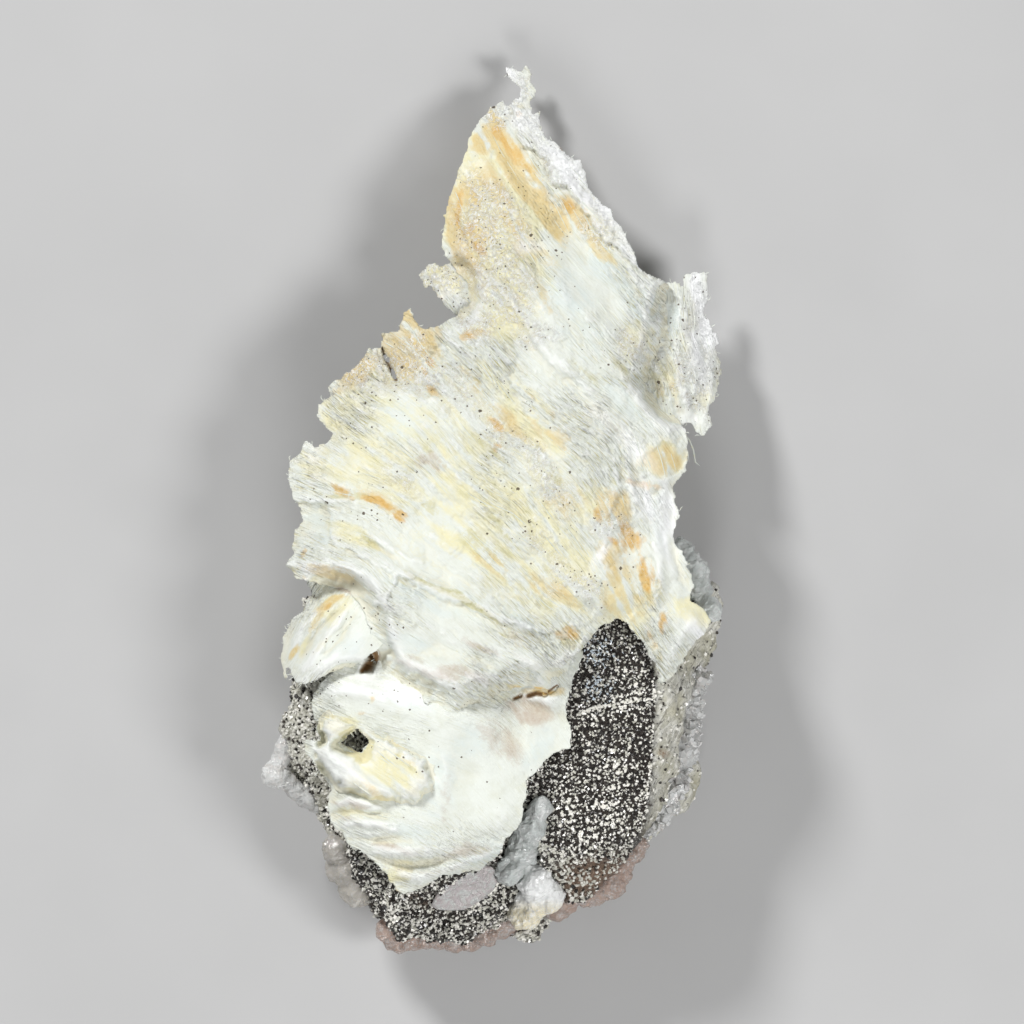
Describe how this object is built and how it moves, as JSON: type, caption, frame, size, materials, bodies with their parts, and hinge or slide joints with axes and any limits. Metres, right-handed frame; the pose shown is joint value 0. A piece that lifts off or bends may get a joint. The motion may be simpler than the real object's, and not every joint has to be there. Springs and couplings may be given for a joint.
{
  "type": "palygorskite specimen",
  "caption": "Hand specimen of fibrous white palygorskite felt rising to a torn spire over grey druse-faced dolostone rimmed with calcite crystals.",
  "frame": {"origin": "centre of the specimen's bounding box, on the flat back that it lies on", "axes": "+X to the right across the front, +Y up the front towards the spire of felt, +Z out of the front"},
  "size_m": [0.0584, 0.1116, 0.0263],
  "materials": {
    "felt": "matted mineral fibre, white with cream and ochre stains",
    "cream_felt": "matted mineral fibre, stained pale yellow",
    "dolostone": "dark grey rock with a sugary sparkle",
    "calcite": "glassy, faintly pink brown crystals",
    "white_calcite": "milky white to blue grey crystals"
  },
  "bodies": {
    "root": {"cream_felt_pocket": "cream_felt", "curled_felt_flap": "felt", "dolostone_matrix": "dolostone", "foot_calcite_rim": "calcite", "grey_calcite_cluster": "white_calcite", "left_calcite_cluster": "calcite", "left_felt_tab": "cream_felt", "left_felt_tongue": "felt", "lower_felt_apron": "felt", "lower_left_calcite_lobe": "calcite", "lower_right_calcite_rim": "calcite", "main_felt_sheet": "felt", "mauve_calcite_flake": "calcite", "right_calcite_rim": "calcite", "upper_right_calcite_crust": "white_calcite", "white_calcite_lump": "white_calcite"}
  },
  "joints": []
}
